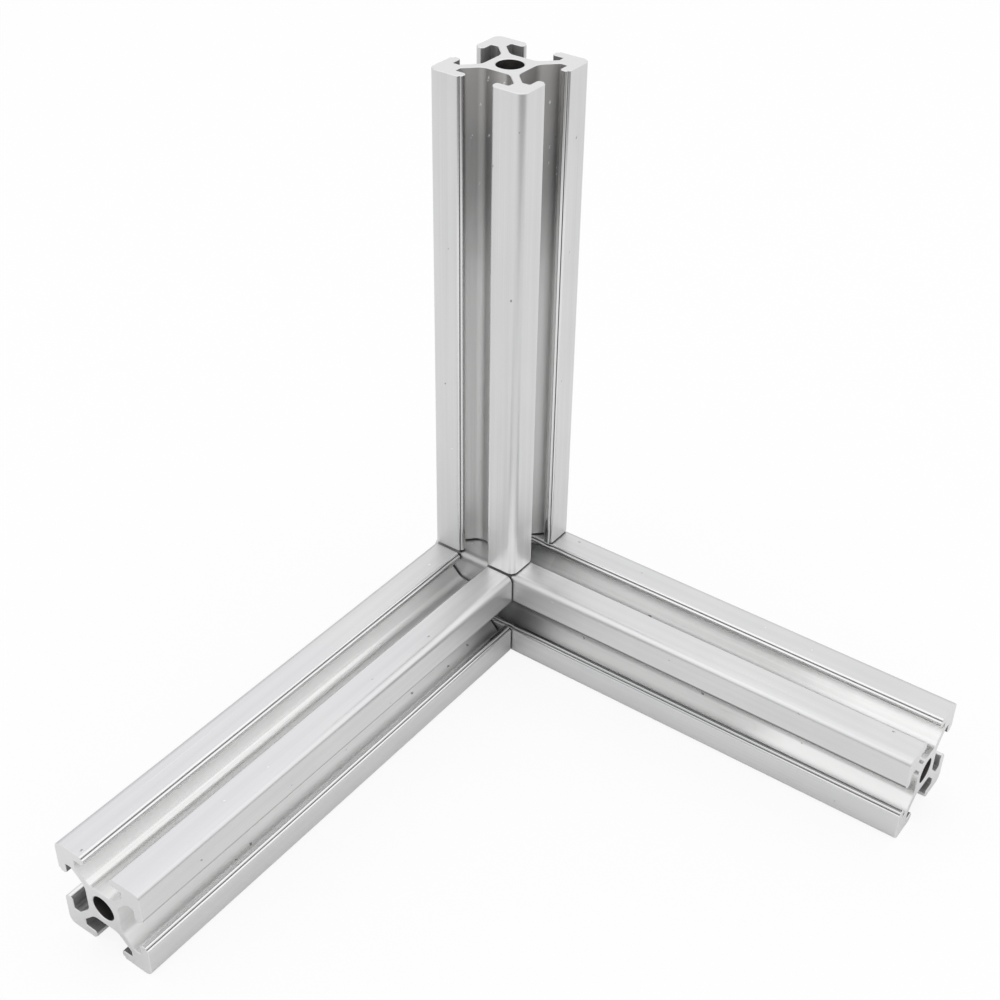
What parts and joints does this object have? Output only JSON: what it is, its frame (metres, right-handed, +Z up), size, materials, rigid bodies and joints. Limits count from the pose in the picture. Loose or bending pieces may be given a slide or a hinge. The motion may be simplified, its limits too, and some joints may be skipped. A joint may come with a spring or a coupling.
{
  "type": "three way extrusion corner",
  "caption": "Slotted aluminium bars meeting at right angles in a square frame corner, two of them held to the bar that runs through by hidden end screws.",
  "frame": {"origin": "the point where the centre lines of the bars meet, in the middle of the corner", "axes": "+X along the through bar to its free end, -Y along the side bar to its free end, +Z up the upright bar"},
  "size_m": [0.1062, 0.1217, 0.121],
  "materials": {
    "extruded_aluminium": "bare extruded surface with fine draw lines, sawn ends",
    "zinc_steel": "zinc plated"
  },
  "bodies": {
    "root": {"through_bar": "extruded_aluminium", "side_bar": "extruded_aluminium", "upright_bar": "extruded_aluminium", "side_screw": "zinc_steel", "upright_screw": "zinc_steel"}
  },
  "joints": []
}
